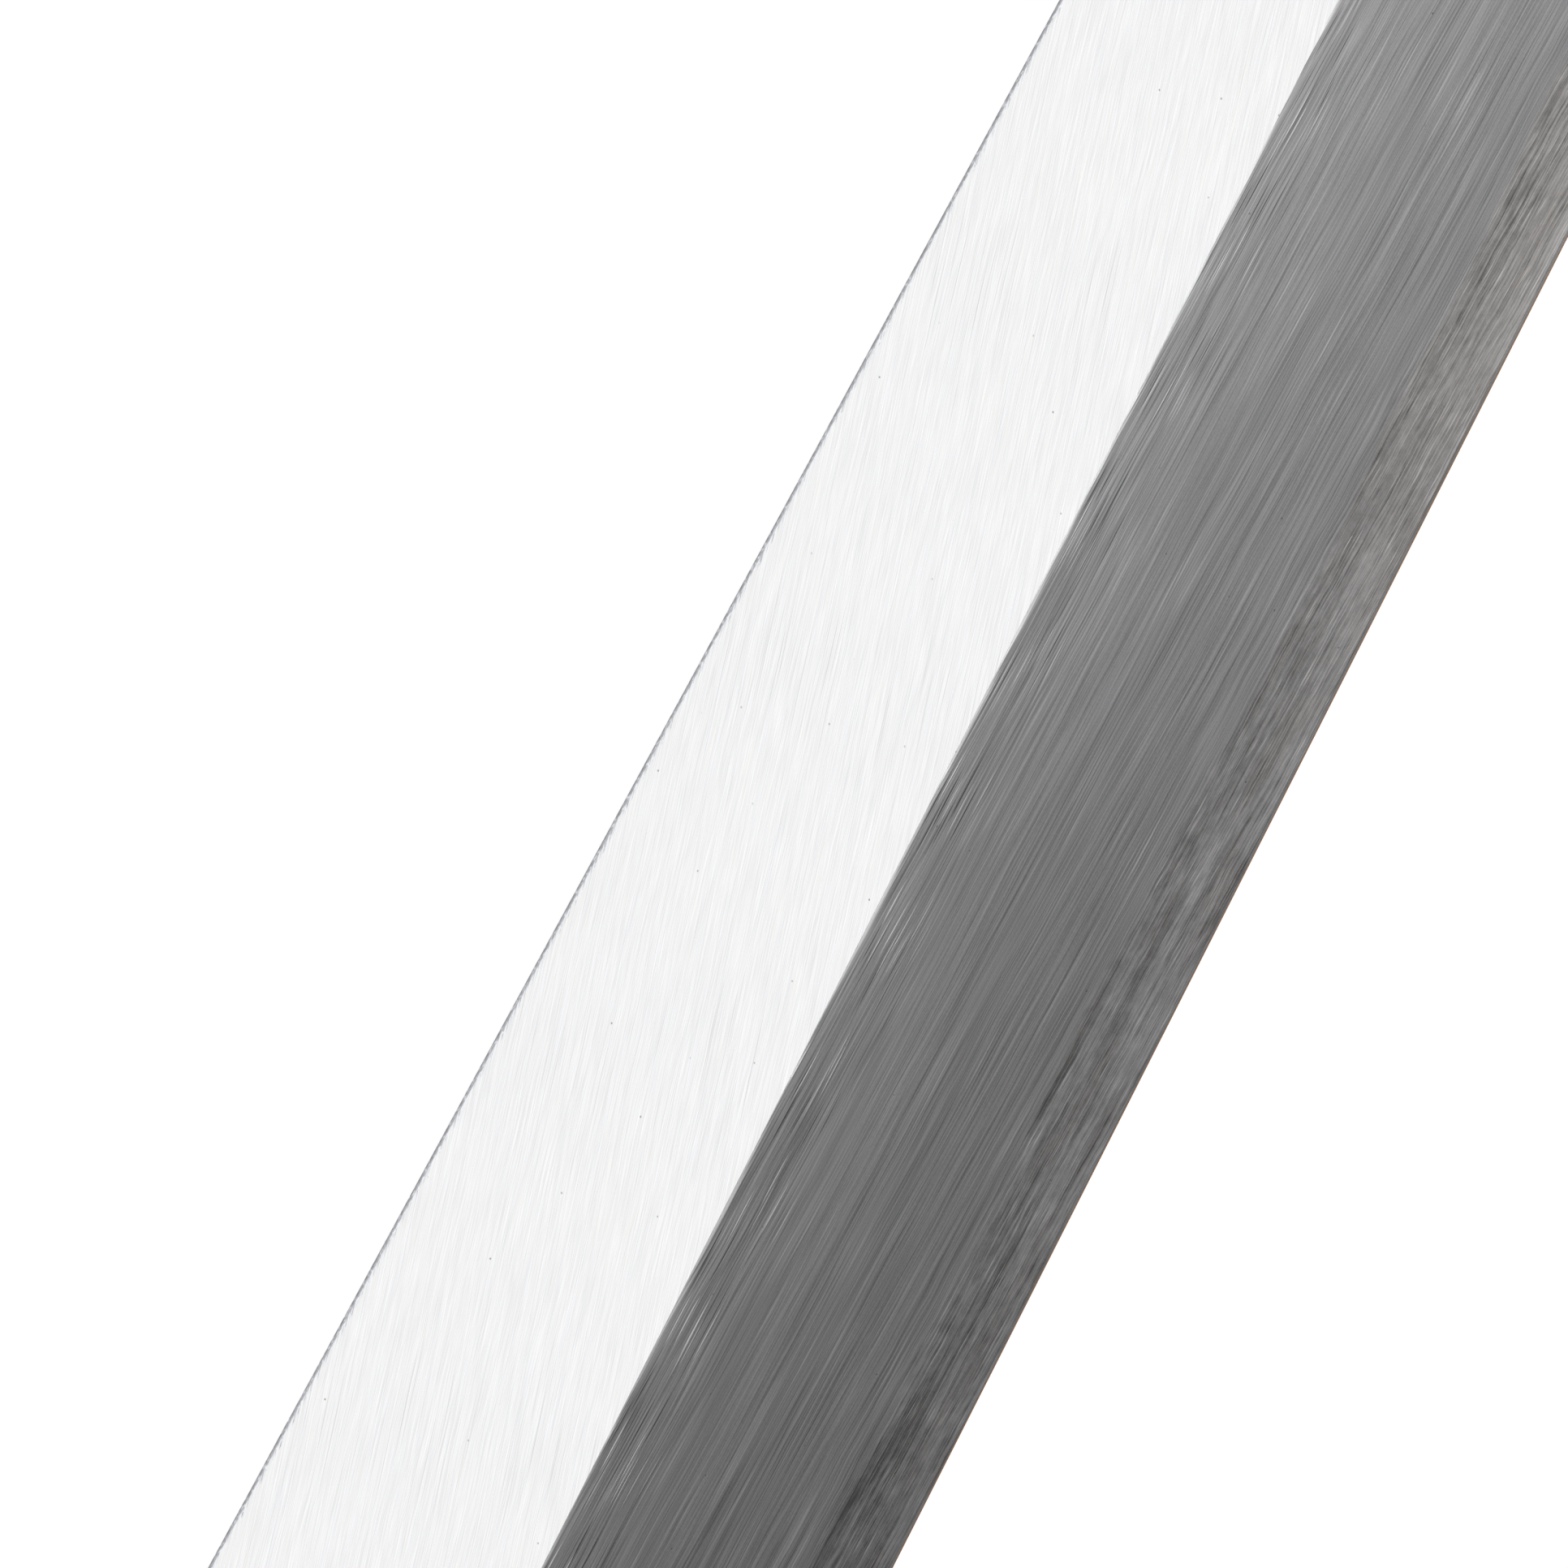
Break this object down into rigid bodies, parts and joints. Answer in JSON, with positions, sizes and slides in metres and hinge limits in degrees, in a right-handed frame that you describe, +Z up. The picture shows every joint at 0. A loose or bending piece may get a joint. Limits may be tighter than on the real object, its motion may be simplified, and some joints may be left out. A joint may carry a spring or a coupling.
{
  "type": "yanagiba knife",
  "caption": "Long slender single-bevel slicing knife for raw fish, with a straight edge that sweeps up to a fine tip, an octagonal wooden handle and a horn ferrule.",
  "frame": {"origin": "middle of the knife's bounding box in plan, on the surface that the knife lies on", "axes": "+X along the knife from butt to tip, +Y across the blade from edge to spine, +Z up, out of the bevelled face. The knife lies on the front rim of its ferrule and its tip, so the blade's flat face slopes down to the tip by 1.58 degrees."},
  "size_m": [0.4288, 0.038, 0.0247],
  "materials": {
    "soft_iron": "satin",
    "hard_steel": "satin",
    "horn": "satin",
    "ho_wood": "matte",
    "resin": "matte"
  },
  "bodies": {
    "root": {"iron_body": "soft_iron", "steel_layer": "hard_steel", "ferrule": "horn", "handle": "ho_wood", "tang_seal": "resin"}
  },
  "joints": []
}
